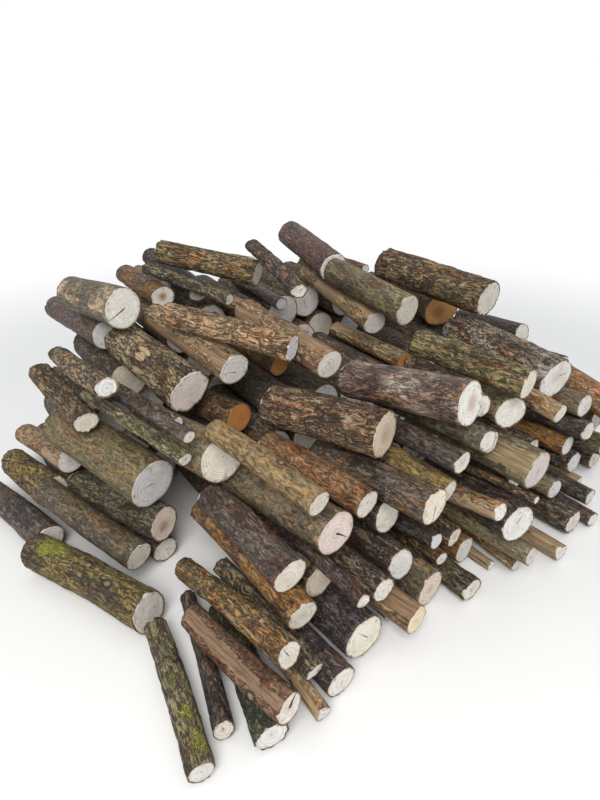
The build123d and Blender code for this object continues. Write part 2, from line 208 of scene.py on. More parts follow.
STAINS = {
    # algae and weather leave broad patches of another colour on the bark, here with the share they cover
    "smooth": [(0.16, 0.138, 0.072, 0.45), (0.05, 0.045, 0.035, 0.35), (0.2, 0.15, 0.085, 0.4)],
    "dark": [(0.03, 0.022, 0.024, 0.45), (0.13, 0.075, 0.03, 0.3), (0.085, 0.08, 0.07, 0.35)],
    "rusty": [(0.26, 0.12, 0.03, 0.5), (0.2, 0.135, 0.04, 0.45), (0.04, 0.025, 0.02, 0.35)],
    "furrowed": [(0.16, 0.12, 0.055, 0.4), (0.045, 0.035, 0.03, 0.35), (0.12, 0.115, 0.07, 0.4)],
    "mossy": [(0.19, 0.148, 0.068, 0.5), (0.11, 0.098, 0.05, 0.5), (0.05, 0.04, 0.025, 0.35)],
    "tan": [(0.33, 0.215, 0.11, 0.5), (0.15, 0.085, 0.045, 0.4), (0.27, 0.195, 0.115, 0.4)],
    "middle": [(0.08, 0.06, 0.04, 0.3)],
    "back": [(0.12, 0.1, 0.06, 0.4), (0.05, 0.038, 0.028, 0.35), (0.13, 0.075, 0.04, 0.3)],
}
print(len(KINDS), "kinds of bark")

# %% [markdown]
# ## Logs that stand out
# Some logs have a mark of their own: an orange or pink sawn face, a dark heart, a crack from the middle
# to the rim, a side that was split flat, or a thick cushion of moss. They are listed by their node and
# their place in it, counted from the left.

# %% Marks of single logs
CREAM = (0.68, 0.674, 0.645)
PINK = (0.655, 0.575, 0.53)
ORANGE = (0.52, 0.235, 0.07)
MARKS = {
    # left column, from the top: two smooth logs with a dry crack, torn and chipped ones under them
    ("smooth_logs_1", 1): {"crack": (3.6, 1.15, 0.0016), "tone": (0.9, 0.93, 0.95), "moss": 0.0,
        "stain": (0.46, 0.38, 0.25, 0.3)},
    ("dark_logs_6", 0): {"tone": (1.15, 1.0, 1.15)},
    ("furrowed_logs_2", 0): {"peeled": 0.34, "stain": (0.3, 0.22, 0.13, 0.45)},
    ("furrowed_logs_6", 0): {"stain": (0.2, 0.14, 0.06, 0.5)},
    ("furrowed_logs_5", 0): {"peeled": 0.18, "tone": (1.2, 1.05, 0.9)},
    ("tan_logs_2", 0): {"peeled": 0.45, "tone": (0.85, 0.8, 0.8)},
    ("furrowed_logs_1", 0): {"stain": (0.27, 0.2, 0.03, 0.55), "tone": (1.1, 0.95, 0.85)},
    ("smooth_logs_2", 0): {"crack": (3.1, 0.5, 0.001), "tone": (1.0, 0.93, 0.72),
        "stain": (0.135, 0.112, 0.05, 0.45), "moss": 0.0, "seam": (3.3, 0.0016), "wood": (0.69, 0.69, 0.67)},
    ("mossy_logs_4", 0): {"wood": PINK, "heart": 0.55, "moss": 0.16, "stain": (0.12, 0.12, 0.08, 0.5)},
    ("smooth_logs_1", 0): {"tone": (0.85, 0.78, 0.65), "stain": (0.05, 0.04, 0.03, 0.5)},
    ("mossy_logs_1", 0): {"moss": 0.16, "cushions": [(1.6, 0.78, 0.06)], "stain": (0.2, 0.145, 0.04, 0.5),
        "tone": (1.0, 0.9, 0.8)},
    # the split log with splinters on its right, the two orange faces and the thin logs below
    ("furrowed_logs_4", 0): {"splits": [(-0.35, 0.8)], "peeled": 0.3, "stain": (0.4, 0.33, 0.2, 0.45),
        "wood": (0.7, 0.65, 0.64), "tone": (1.1, 1.05, 0.85)},
    ("rusty_logs_1", 1): {"wood": (0.43, 0.19, 0.06), "tone": (0.75, 0.8, 0.9)},
    ("rusty_logs_2", 1): {"wood": (0.56, 0.29, 0.1), "tone": (0.7, 0.7, 0.7)},
    ("mossy_logs_6", 0): {"moss": 0.4, "stain": (0.2, 0.19, 0.09, 0.5)},
    ("smooth_logs_3", 0): {"wood": (0.69, 0.69, 0.67), "tone": (0.9, 0.9, 0.9)},
    ("furrowed_logs_1", 1): {"tone": (1.15, 1.0, 0.8)},
    # long pale logs over the top
    ("tan_logs_2", 1): {"peeled": 0.62},
    ("tan_logs_4", 0): {"peeled": 0.6, "tone": (1.1, 1.05, 1.0)},
    ("mossy_logs_4", 1): {"moss": 0.16, "tone": (1.9, 1.4, 1.1), "stain": (0.42, 0.27, 0.16, 0.55),
        "cushions": [(1.2, 0.08, 0.03)]},
    ("mossy_logs_4", 2): {"moss": 0.2},
    ("furrowed_logs_5", 1): {"tone": (1.5, 1.4, 0.95), "stain": (0.24, 0.19, 0.08, 0.55)},
    ("rusty_logs_4", 0): {"heart": 0.9, "tone": (0.7, 0.7, 0.8)},
    ("dark_logs_3", 3): {"tone": (1.5, 0.95, 0.95)},
    ("dark_logs_5", 2): {"tone": (1.1, 0.95, 1.1)},
    # right of the top: orange faces, furrowed and grey plated logs
    ("smooth_logs_5", 2): {"wood": (0.64, 0.34, 0.11), "heart": 0.6, "tone": (1.1, 1.1, 1.2)},
    ("furrowed_logs_6", 2): {"tone": (1.1, 0.95, 0.75), "stain": (0.2, 0.15, 0.07, 0.5)},
    ("tan_logs_5", 0): {"wood": ORANGE, "heart": 0.7},
    ("rusty_logs_3", 2): {"tone": (0.8, 0.62, 0.65), "stain": (0.1, 0.05, 0.04, 0.5)},
    ("smooth_logs_4", 1): {"tone": (0.9, 0.9, 0.85)},
    ("mossy_logs_3", 1): {"moss": 0.08, "tone": (1.5, 1.4, 0.95), "stain": (0.235, 0.2, 0.095, 0.55),
        "seam": (2.2, 0.0014)},
    ("furrowed_logs_2", 4): {"tone": (1.2, 1.15, 1.1), "heart": 0.25, "stain": (0.3, 0.29, 0.26, 0.4)},
    ("tan_logs_4", 2): {"tone": (1.2, 0.95, 0.75), "peeled": 0.35},
    # middle: the big furrowed log, the dark one above it and the long ones below
    ("furrowed_logs_3", 2): {"tone": (0.95, 0.72, 0.6), "stain": (0.27, 0.19, 0.1, 0.38), "heart": 0.3,
        "wood": (0.7, 0.62, 0.48)},
    ("dark_logs_2", 3): {"heart": 0.45, "tone": (1.75, 1.5, 1.35), "stain": (0.37, 0.33, 0.27, 0.28)},
    ("rusty_logs_3", 0): {"tone": (1.3, 1.0, 0.75), "stain": (0.22, 0.12, 0.055, 0.5)},
    ("smooth_logs_5", 0): {"tone": (1.25, 1.0, 0.6), "stain": (0.24, 0.165, 0.07, 0.5)},
    ("smooth_logs_4", 0): {"wood": PINK, "crack": (5.6, 0.9, 0.0024), "tone": (0.75, 0.7, 0.65)},
    ("dark_logs_5", 1): {"tone": (1.1, 0.95, 0.85)},
    ("rusty_logs_2", 0): {"tone": (0.9, 0.85, 0.75), "stain": (0.3, 0.155, 0.04, 0.5)},
    ("mossy_logs_5", 0): {"moss": 0.12, "tone": (1.6, 1.25, 0.85), "stain": (0.33, 0.205, 0.08, 0.42),
        "crack": (2.0, 0.9, 0.001)},
    ("rusty_logs_4", 1): {"stain": (0.21, 0.16, 0.04, 0.6)},
    ("dark_logs_4", 1): {"crack": (4.4, 1.1, 0.0014), "wood": (0.72, 0.66, 0.55)},
    ("dark_logs_2", 2): {"tone": (1.0, 0.9, 0.9)},
    ("furrowed_logs_3", 0): {"wood": (0.6, 0.54, 0.44), "tone": (0.9, 0.9, 0.9)},
    # foot, from the left
    ("mossy_logs_2", 0): {"moss": 0.2,
        "cushions": [(1.7, 0.5, 0.024), (1.5, 0.3, 0.034), (1.1, 0.14, 0.032)],
        "stain": (0.19, 0.165, 0.085, 0.5)},
    ("dark_logs_2", 0): {"peeled": 0.12},
    ("mossy_logs_3", 0): {"moss": 0.26, "tone": (0.6, 0.75, 0.7), "stain": (0.03, 0.055, 0.03, 0.55)},
    ("rusty_logs_1", 0): {"peeled": 0.22, "tone": (1.0, 0.8, 0.8), "crack": (0.9, 1.1, 0.0034),
        "splits": [(2.3, 0.78)], "stain": (0.125, 0.07, 0.045, 0.5)},
    ("dark_logs_3", 0): {"tone": (0.9, 0.9, 1.0)},
    ("furrowed_logs_2", 1): {"crack": (0.6, 1.1, 0.0026)},
    ("dark_logs_4", 0): {"tone": (0.85, 0.95, 1.2), "wood": (0.76, 0.74, 0.7), "crack": (2.3, 0.8, 0.001)},
    ("dark_logs_6", 1): {"crack": (1.2, 1.2, 0.0022)},
    ("tan_logs_3", 0): {"wood": (0.74, 0.66, 0.5), "splits": [(1.9, 0.72)]},
    ("smooth_logs_3", 1): {"wood": PINK, "heart": 0.3},
    # front wall on the right: split billets, torn and odd-shaped ends
    ("smooth_logs_1", 3): {"splits": [(0.8, 0.45), (2.9, 0.45)]},
    ("tan_logs_4", 1): {"crack": (1.0, 1.2, 0.002), "peeled": 0.55},
    ("rusty_logs_1", 2): {"peeled": 0.25, "splits": [(1.3, 0.7)]},
    ("smooth_logs_3", 3): {"wood": PINK, "splits": [(2.5, 0.78)]},
    ("tan_logs_5", 1): {"splits": [(1.2, 0.5), (3.3, 0.55)], "tone": (0.7, 0.75, 0.55)},
    ("dark_logs_6", 2): {"crack": (0.9, 0.7, 0.0012), "tone": (0.8, 0.8, 0.85)},
    ("rusty_logs_4", 2): {"tone": (1.4, 1.1, 0.8), "stain": (0.34, 0.18, 0.06, 0.6)},
    ("tan_logs_2", 2): {"splits": [(1.5, 0.35), (-1.6, 0.5)], "peeled": 0.6},
    ("tan_logs_1", 2): {"peeled": 0.6},
    ("smooth_logs_3", 4): {"tone": (0.8, 0.75, 0.7)},
}
print(len(MARKS), "logs have marks of their own")

# %% [markdown]
# ## The skin of one log
# The skin is a grid: angle round the log by distance along it. The radius at a grid point is that of the
# model's flats, less a depth made of broad lobes, lumps and furrows. Furrows are where stretched noise
# passes through zero: there 1 - |noise| is close to 1, and its fourth power keeps only a narrow groove.

# %% Side of a log
LOBE_SIZE = [0.10, 0.10, 0.28]  # metres across, across and along the log
LUMP_SIZE = [0.030, 0.030, 0.055]
FURROW_BEND = 0.010  # metres by which a furrow wanders
SPLIT_ROUGH = 0.004  # metres of relief on a side that was split


def bark_depth(log, angle, along, radius):
    """How far the skin lies below the model's radius: lobes + lumps + furrows - knots, in metres."""
    kind = KINDS[log["family"]]
    place = np.stack([radius * np.cos(angle), radius * np.sin(angle), along], -1) + log["shift"]
    broad = (1 + noise(place / LOBE_SIZE)) / 2 * kind.lobes * radius
    lump = (1 + noise(place / LUMP_SIZE, 1)) / 2 * kind.lumps
    bent = place + FURROW_BEND * noise(place / 0.08, 2)[..., None]
    groove = (1 - np.abs(noise(bent / [kind.width, kind.width, kind.length], 3))) ** 4
    cross = (1 - np.abs(noise(bent / (kind.width * np.array([2, 2, 1.6])), 4))) ** 6
    depth = broad + lump + kind.furrow * (np.maximum(groove, 0.7 * cross) + 0.3)
    for knot_angle, knot_along, width, height in log["knots"]:
        round_it = (np.mod(angle - knot_angle + np.pi, 2 * np.pi) - np.pi) * radius
        away = np.hypot(round_it, (along - knot_along) * 0.8) / width
        depth = depth - height * np.exp(-away**2) + 0.6 * height * np.exp(-(3 * away) ** 2)
    return np.maximum(depth, 0)


def model_radius(log, angle, along):
    """Mean radius with its taper, times the oval second harmonic, drawn in from the corners to the flats."""
    share = along / log["length"]
    even = log["radii"][0] + (log["radii"][1] - log["radii"][0]) * share
    oval = 1 + log["oval"][0] * np.cos(2 * angle) + log["oval"][1] * np.sin(2 * angle)
    return even * oval * math.cos(math.pi / log["flats"])


def bowed(log, along):
    """Sideways bow: the model's two straight halves, with the kink in the middle rounded."""
    off = 2 * along / log["length"] - 1
    return log["bow"] * (math.sqrt(1.09) - np.sqrt(off**2 + 0.09))


def skin_radius(log, angle, along):
    """The model's radius less the bark's depth, cut flat where the log was split: share / cos(angle off)."""
    full = model_radius(log, angle, along)
    radius = full - bark_depth(log, angle, along, full)
    split = np.zeros_like(radius)
    for split_angle, share in log["splits"]:
        facing = np.cos(angle - split_angle)
        place = np.stack([radius * np.cos(angle), radius * np.sin(angle), along * 0.3], -1)
        flat = (share * full + SPLIT_ROUGH * noise(place / 0.02, 5)) / np.maximum(facing, 0.05)
        cut = (facing > 0.05) & (flat < radius)
        split = np.where(cut, 1.0, split)
        radius = np.where(cut, flat, radius)
    return radius, split


print("bark is made of lobes, lumps and furrows")

# %% [markdown]
# ## The sawn ends
# The saw leaves a flat face of wood with a rim of bark. The rim is rounded, and bits of bark have broken
# away from it, so its edge lies back by a distance that noise sets. Rings of points lead from the bark's
# edge over its cut, down to the wood, and in to the middle of the face. Each ring is a radius and a
# depth for every angle.

# %% Rings of a sawn end
BARK_RINGS = 3  # the first rings of an end are bark, the others are wood
INNER_RINGS = (0.9, 0.74, 0.56, 0.38, 0.2, 0.07)  # shares of the wood's radius


def end_rings(log, angle, radius, chipped, bark, back):
    """Radius and depth of each ring from the bark's edge to the middle. The wood is wavy by up to 2 mm."""
    wood = np.maximum(radius - bark, 0.55 * radius)
    drop = chipped + 0.0006
    rings = [(radius - 0.15 * bark, drop * 0.8), (wood + 0.25 * bark, drop * 0.75), (wood, drop * 0.9),
             (wood - 0.0002, drop * 0.4 + 0.0003), (wood - 0.0010, drop * 0 + 0.0002)]
    circle = np.stack([np.cos(angle), np.sin(angle), 0 * angle], -1)
    for share in INNER_RINGS:
        wave = noise(circle * share * 3 + log["shift"] * 7 + back, 6)
        rings.append((wood * share, 0.0009 * (1 + wave)))
    return rings


print(BARK_RINGS, "rings of bark at an end and", 2 + len(INNER_RINGS), "of wood")

# %% [markdown]
# ## The mesh of one log
# The side grid and the two ends of a log share their points, so its skin is closed. All faces run the
# same way round, which keeps them outwards. Each point also gets what the materials need: whether it is
# bark or wood, how far out on the sawn face it is, and whether a split cut it.

# %% Points, faces and values of one log
FEWEST_ROUND, MOST_ROUND = 20, 96  # points round a log


def strip(first, second, around):
    """Four-cornered faces between two rings of points, given by the number of each ring's first point."""
    here = np.arange(around)
    ahead = (here + 1) % around
    return np.stack([first + here, second + here, second + ahead, first + ahead], -1)


def dressed(log):
    """Points in the log's own frame, its faces with their material numbers, its end fans, and values."""
    mean = sum(log["radii"]) / 2
    around = int(np.clip(round(2 * np.pi * mean / log["fineness"]), FEWEST_ROUND, MOST_ROUND))
    steps = int(round(log["length"] / (1.6 * log["fineness"]))) + 1
    angle = np.arange(around) * 2 * np.pi / around
    edge = np.stack([mean * np.cos(angle), mean * np.sin(angle), 0 * angle], -1) / 0.022 + log["shift"]
    chips = [0.0004 + 0.011 * eased(0.25, 0.9, noise(edge + 9 * k, 7))
             + 0.002 * eased(-0.2, 0.6, noise(edge * 2.2 + k, 8)) for k in (1, 2)]
    share = np.linspace(0, 1, steps)[:, None]
    along = chips[0] * (1 - share) + (log["length"] - chips[1]) * share + 0 * angle
    radius, split = skin_radius(log, angle + 0 * share, along)
    thick = KINDS[log["family"]].thickness * (0.8 + 0.35 * noise(edge * 0.6, 9)) * (1 - 0.8 * split[0])
    rows = [np.stack([radius, along, 0 * along, 0 * along, split])]
    for end, back in ((0, 0), (-1, 5)):
        rings = end_rings(log, angle, radius[end], chips[end], thick, back)
        face = np.maximum(rings[BARK_RINGS + 1][0], 1e-4)
        for number, (ring, depth) in enumerate(rings):
            wood = (number >= BARK_RINGS) + 0 * ring
            there = log["length"] - depth if end else depth
            rows.append(np.stack([ring, there, wood, ring / face, split[end]])[:, None])
    r, w, *values = np.concatenate(rows, 1)
    count = len(rings)
    own = np.stack([r * np.cos(angle) + bowed(log, np.clip(w, 0, log["length"])), r * np.sin(angle), w], -1)
    tips = [[0, 0, w[steps + count - 1].mean()], [0, 0, w[-1].mean()]]
    own = np.concatenate([own.reshape(-1, 3), tips])
    bands = [(row, row + 1, 0) for row in range(steps - 1)]
    for k in range(count):
        wood = int(k >= BARK_RINGS)
        bands.append((steps + k, steps + k - 1 if k else 0, wood))
        bands.append((steps + count + k - 1 if k else steps - 1, steps + count + k, wood))
    quads = np.concatenate([strip(first * around, second * around, around) for first, second, _ in bands])
    kinds = np.repeat([wood for _, _, wood in bands], around)
    here = np.arange(around)
    ahead = (here + 1) % around
    front, rear = (steps + count - 1) * around, (steps + 2 * count - 1) * around
    tip = 0 * here + len(own) - 2
    fans = np.concatenate([np.stack([front + here, front + ahead, tip], -1),
                           np.stack([rear + ahead, rear + here, tip + 1], -1)])
    values = np.concatenate([np.reshape(values, (3, -1)), [[1, 1], [0, 0], [0, 0]]], 1)
    return own, quads, kinds, fans, values


print("a log has", FEWEST_ROUND, "to", MOST_ROUND, "points round it")

# %% [markdown]
# ## Where moss grows
# Moss and lichen like the upper side and the damp hollows. The amount at a point is the log's own share,
# raised where the skin faces up and where broad noise is high. Peeled patches come from stretched noise,
# because bark comes off in strips along the log.

# %% Cover of a log


def cover(log, own, normal_up):
    """Moss and bare wood at each point, from 0 to 1: the log's share of each, plus noise."""
    place = own + log["shift"]
    patch = noise(place / [0.07, 0.07, 0.10], 10) * 0.5 + noise(place / 0.03, 11) * 0.3
    green = np.clip(log["moss"] * 1.3 + 0.30 * normal_up * log["moss"] ** 0.5 + patch * 0.9 - 0.28, 0, 0.85)
    for angle, share, size in log["cushions"]:
        radius = log["radii"][0]
        middle = np.array([radius * math.cos(angle), radius * math.sin(angle), share * log["length"]])
        away = np.linalg.norm((own - middle) * [1, 1, 0.7], axis=1)
        away += size * (0.7 * patch + 0.5 * noise(place / 0.014, 14))
        green = np.maximum(green, 1.05 * eased(1.3 * size, 0.2 * size, away))
    stripped = noise(place / [0.045, 0.045, 0.17], 12) * 0.7 + noise(place / [0.02, 0.02, 0.06], 13) * 0.3
    bare = eased(-0.10, 0.10, stripped - 0.75 + 1.25 * log["peeled"])
    return green, bare


def knotted(log, own):
    """How close each point is to the middle of a knot, from 0 to 1: exp(-distance²)."""
    near = np.zeros(len(own))
    for knot_angle, knot_along, width, _ in log["knots"]:
        middle = np.array([math.cos(knot_angle), math.sin(knot_angle)]) * log["radii"][0]
        away = np.linalg.norm((own - [*middle, knot_along]) * [1, 1, 0.8], axis=1)
        near = np.maximum(near, np.exp(-(away / (1.3 * width)) ** 2))
    return near


print("moss follows the upper side")

# %% [markdown]
# ## Give every log its own numbers
# A random generator that starts from the log's place in the list gives each log its own shift in the
# noise, its knots, the place of its pith, and small changes of tone. The same start gives the same heap.
# The marks in the list above then take the place of the usual numbers.

# %% Numbers of each log
FINENESS = {"middle": 0.0200, "back": 0.0130}  # metres between points round a hidden log
SEEN_FINENESS = 0.0070
WARMER = np.array([0.35, 0.0, -0.8])  # how a warmer wood shifts in red, green and blue

for number, log in enumerate(logs):
    chance = np.random.default_rng(100 + number)
    kind = KINDS[log["family"]]
    hidden = log["family"] in FINENESS
    usual = {"splits": [], "cushions": [], "moss": kind.moss, "peeled": kind.peeled, "wood": CREAM,
             "fineness": FINENESS.get(log["family"], SEEN_FINENESS)}
    usual["shift"] = chance.random(3) * 40 + 3
    usual["knots"] = [(chance.random() * 2 * np.pi, log["length"] * (0.12 + 0.76 * chance.random()),
                       0.008 + 0.012 * chance.random(), 0.0035)
                      for _ in range(0 if hidden else chance.integers(0, 4))]
    usual["pith"] = chance.normal(0, 0.09, 2) * log["radii"][0]
    usual["seed"] = chance.random()
    usual["tone"] = np.clip(1 + chance.normal(0, 0.16) + chance.normal(0, 0.05, 3), 0.6, 1.5)
    tint = 1 + chance.normal(0, 0.05) + chance.normal(0, 0.06) * WARMER
    usual["heart"] = 0.25 * chance.random() ** 2
    usual["crack"] = (chance.random() * 2 * np.pi, chance.random() * 0.8 * (chance.random() < 0.4), 0.0008)
    usual["seam"] = (chance.random() * 2 * np.pi, 0.0012 * chance.random() * (chance.random() < 0.35))
    stains = STAINS[log["family"]]
    usual["stain"] = stains[chance.integers(len(stains))]
    log.update({**usual, **MARKS.get((log["node"], log["rank"]), {})})
    log["wood"] = np.clip(np.array(log["wood"]) * tint, 0, 0.74)
print("first log's pith", log["pith"].round(4))

# %% [markdown]
# ## One mesh for each node
# The logs of a node go into one mesh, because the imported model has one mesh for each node. What a log is
# like is kept as values on its points, so one material can dress all the logs of a kind.

# %% Meshes of the nodes


def stored(mesh, name, values):
    """Keep an array on the mesh's points: three numbers a point make a vector, four make a colour."""
    kind, field = ("FLOAT_VECTOR", "vector") if values.shape[1] == 3 else ("FLOAT_COLOR", "color")
    data = mesh.attributes.new(name, kind, "POINT").data
    data.foreach_set(field, np.ascontiguousarray(values, np.float32).ravel())


looks = {}
triangles = 0
for node in nodes:
    points, quads, kinds, fans, values = [], [], [], [], []
    start = 0
    for log in [log for log in logs if log["node"] == node]:
        own, faces, material, fan, (wood, out, split) = dressed(log)
        count = len(own)
        side = own[:, :2] / np.maximum(np.linalg.norm(own[:, :2], axis=1), 1e-6)[:, None]
        moss, bare = cover(log, own, side @ log["axes"][:2, 2])
        points.append(own @ log["axes"] + log["start"])
        quads.append(faces + start)
        kinds.append(material)
        fans.append(fan + start)
        same = {"log_look": [log["seed"], log["heart"], log["radii"][0]], "pith": [*log["pith"], 0],
                "crack": log["crack"], "stain": log["stain"], "tone": [*log["tone"], 1],
                "wood": [*log["wood"], 1]}
        mark = np.stack([knotted(log, own), *np.tile(log["seam"], (count, 1)).T], -1)
        values.append({"own": own, "cover": np.stack([moss * (wood < 0.5), np.maximum(bare, split), out], -1),
                       "mark": mark, **{name: np.tile(value, (count, 1)) for name, value in same.items()}})
        start += count
    four, three = np.concatenate(quads), np.concatenate(fans)
    material = np.concatenate([*kinds, np.ones(len(three), int)])
    mesh = bpy.data.meshes.new(node + "_skin")
    mesh.from_pydata(np.concatenate(points).tolist(), [], four.tolist() + three.tolist())
    mesh.polygons.foreach_set("material_index", material.astype(np.int32))
    mesh.polygons.foreach_set("use_smooth", np.ones(len(material), bool))
    for name in values[0]:
        stored(mesh, name, np.concatenate([value[name] for value in values]))
    mesh.update()
    piece = bpy.data.objects.new(node + "_dressed", mesh)
    bpy.context.scene.collection.objects.link(piece)
    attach(piece, "root")
    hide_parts(node)
    looks[node] = piece
    triangles += 2 * len(four) + len(three)
print(len(looks), "pieces,", triangles, "triangles")

# %% [markdown]
# ## Short ways to wire nodes
# A material is a tree of nodes, each with inputs and a result. A small class holds one tree and adds
# nodes to it, so that a sum of masks and colours can be written in one line. Each effect is then a group
# with named inputs and outputs, which several materials can use.

# %% Helpers for nodes


class Wires:
    """One node tree. Each method adds a node and returns its result, ready to go into the next node."""

    def __init__(self, tree):
        self.tree = tree

    def put(self, socket, value):
        """Link a socket to a result, or set its value. A colour of three numbers gets its fourth."""
        if isinstance(value, bpy.types.NodeSocket):
            self.tree.links.new(value, socket)
        else:
            socket.default_value = (*value, 1) if socket.type == "RGBA" and len(value) == 3 else value

    def add(self, kind, links=(), **settings):
        """A node of a kind, with settings on it, and its inputs set or linked."""
        node = self.tree.nodes.new("ShaderNode" + kind)
        for name, value in settings.items():
            setattr(node, name, value)
        for name, value in dict(links).items():
            self.put(node.inputs[name], value)
        return node

    def used(self, source, links):
        """The outputs of a group placed in this tree."""
        return self.add("Group", links, node_tree=source).outputs

    def maths(self, operation, *values, clamp=False):
        return self.add("Math", dict(enumerate(values)), operation=operation, use_clamp=clamp).outputs[0]

    def plus(self, one, two):
        return self.maths("ADD", one, two)

    def minus(self, one, two, clamp=False):
        return self.maths("SUBTRACT", one, two, clamp=clamp)

    def times(self, one, two):
        return self.maths("MULTIPLY", one, two)

    def uneven(self, value, random, amount):
        """A value moved up and down by noise that lies round a half."""
        return self.plus(value, self.times(self.minus(random, 0.5), amount))

    def vector(self, operation, *values):
        return self.add("VectorMath", dict(enumerate(values)), operation=operation).outputs[0]

    def parts(self, vector):
        """The three numbers of a vector."""
        return self.add("SeparateXYZ", {0: vector}).outputs

    def turned(self, vector, angle):
        """A place turned about the log's own axis."""
        return self.add("VectorRotate", {"Vector": vector, "Angle": angle}, rotation_type="Z_AXIS").outputs[0]

    def ramp(self, value, low, high, to_low=0.0, to_high=1.0):
        """An eased rise from to_low to to_high while the value goes from low to high."""
        links = {"Value": value, "From Min": low, "From Max": high, "To Min": to_low, "To Max": to_high}
        return self.add("MapRange", links, interpolation_type="SMOOTHSTEP").outputs["Result"]

    def blend(self, share, one, two, way="MIX"):
        """Two colours mixed by a share."""
        links = {0: share, 6: one, 7: two}
        return self.add("Mix", links, data_type="RGBA", blend_type=way, clamp_factor=True).outputs[2]

    def tinted(self, one, two):
        """One colour times another."""
        return self.blend(1.0, one, two, "MULTIPLY")

    def noise(self, place, scale, detail=2.0, rough=0.5):
        """Noise in space, from 0 to 1."""
        links = {"Vector": place, "Scale": scale, "Detail": detail, "Roughness": rough}
        return self.add("TexNoise", links).outputs["Fac"]

    def stretched(self, place, across, along, detail, rough):
        """Noise with one scale across the log and another along it."""
        return self.noise(self.vector("MULTIPLY", place, (across, across, along)), 1.0, detail, rough)

    def along_line(self, value, scale, detail, rough=0.5):
        """Noise that depends on one number only."""
        links = {"W": self.times(value, scale), "Scale": 1.0, "Detail": detail, "Roughness": rough}
        return self.add("TexNoise", links, noise_dimensions="1D").outputs["Fac"]

    def stored(self, name, output="Vector"):
        """What the mesh stores under a name."""
        return self.add("Attribute", attribute_name=name).outputs[output]


def group(name, inputs, outputs):
    """A node group with its sockets, its wires, its inputs by name, and a function that sets its outputs."""
    tree = bpy.data.node_groups.new(name, "ShaderNodeTree")
    for side, sockets in (("INPUT", inputs), ("OUTPUT", outputs)):
        for label, kind in sockets.items():
            tree.interface.new_socket(label, in_out=side, socket_type="NodeSocket" + kind)
    end = tree.nodes.new("NodeGroupOutput").inputs

    def give(**values):
        for label, value in values.items():
            tree.links.new(value, end[label])
        print(name, "has", len(tree.nodes), "nodes")

    return tree, Wires(tree), tree.nodes.new("NodeGroupInput").outputs, give


print("helpers ready")

# %% [markdown]
# ## Bark
# Bark is ridges and furrows that run along the log, crossed by short cracks, with fine grain on the
# ridges and pale flecks where it has flaked. Broad patches are rusty, stained or damp. The group turns the
# place on the log into a colour and a height. Stretched noise is cheaper than modelling each plate, and it
# stays put on the log in every view.

# %% Bark group
bark_tree, w, at, give = group(
    "bark",
    {"Place": "Vector", "Across": "Float", "Along": "Float", "Depth": "Float", "Dark": "Color",
     "Light": "Color", "Furrow": "Color", "Furrows": "Float", "Fleck": "Color", "Flecks": "Float",
     "Tone": "Color", "Stain": "Color", "Stained": "Float"},
    {"Colour": "Color", "Height": "Float", "Damp": "Float"})
bend = w.add("TexNoise", {"Vector": at["Place"], "Scale": 26.0, "Detail": 0.0}).outputs["Color"]
place = w.vector("ADD", at["Place"], w.vector("MULTIPLY", bend, (0.018, 0.018, 0.05)))
scale = w.add("CombineXYZ", {"X": at["Across"], "Y": at["Across"], "Z": at["Along"]}).outputs[0]
wide = w.noise(w.vector("MULTIPLY", place, scale), 1.0, 3.0, 0.72)
furrow = w.ramp(w.maths("ABSOLUTE", w.minus(wide, 0.5)), 0.004, 0.065, 1.0, 0.0)
grain = w.ramp(w.stretched(place, 120.0, 42.0, 2.0, 0.8), 0.36, 0.64)
fleck = w.ramp(w.stretched(place, 88.0, 40.0, 2.0, 0.8), 0.54, 0.60)
rust = w.ramp(w.stretched(at["Place"], 20.0, 8.0, 3.0, 0.76), 0.49, 0.64)
broad = w.stretched(place, 13.0, 7.0, 3.0, 0.74)
height = w.minus(w.times(grain, 0.7), w.times(furrow, at["Depth"]))

# %% Colour of the bark
colour = w.blend(grain, at["Dark"], at["Light"])
colour = w.blend(w.times(rust, 0.8), colour, w.tinted(colour, (1.60, 1.00, 0.52)))
colour = w.tinted(colour, at["Tone"])
stain = w.tinted(at["Stain"], w.blend(grain, (0.55, 0.5, 0.45), (1.25, 1.22, 1.2)))
spread = w.ramp(w.plus(broad, w.times(at["Stained"], 0.35)), 0.60, 0.74, 0.0, 0.85)
colour = w.blend(spread, colour, stain)
colour = w.blend(w.times(fleck, at["Flecks"]), colour, at["Fleck"])
colour = w.blend(w.times(furrow, at["Furrows"]), colour, at["Furrow"])
damp = w.ramp(broad, 0.40, 0.50, 0.70, 0.0)
colour = w.blend(damp, colour, w.tinted(colour, (0.38, 0.34, 0.34)))
give(Colour=colour, Height=height, Damp=damp)

# %% [markdown]
# ## Bare wood along the grain
# Where bark has come off, or a side was split, long fibres show. They are noise stretched far more along
# the log than across it, from pale to brown, with a few dark weathered streaks. A finer noise makes the
# edge of the bark ragged, and the wood lies lower than the bark.

# %% Peeled wood group
peeled_tree, w, at, give = group(
    "peeled_wood",
    {"Place": "Vector", "Bare": "Float", "Stain": "Color", "Colour": "Color", "Height": "Float"},
    {"Colour": "Color", "Height": "Float", "Mask": "Float", "Ragged": "Float"})
fibres = w.stretched(at["Place"], 330.0, 9.0, 1.0, 0.7)
streaks = w.stretched(at["Place"], 70.0, 5.0, 1.0, 0.6)
pale = w.blend(0.6, (0.46, 0.34, 0.20), w.tinted(at["Stain"], (1.35, 1.30, 1.30)))
brown = w.tinted(pale, (0.50, 0.42, 0.38))
wood = w.blend(w.ramp(fibres, 0.3, 0.7), brown, pale)
wood = w.blend(w.ramp(streaks, 0.52, 0.70, 0.0, 0.7), wood, (0.090, 0.060, 0.038))
ragged = w.noise(at["Place"], 90.0, 2.0, 0.75)
bare = w.ramp(w.uneven(at["Bare"], ragged, 0.9), 0.48, 0.58)
sunk = w.minus(w.times(fibres, 0.6), 1.2)
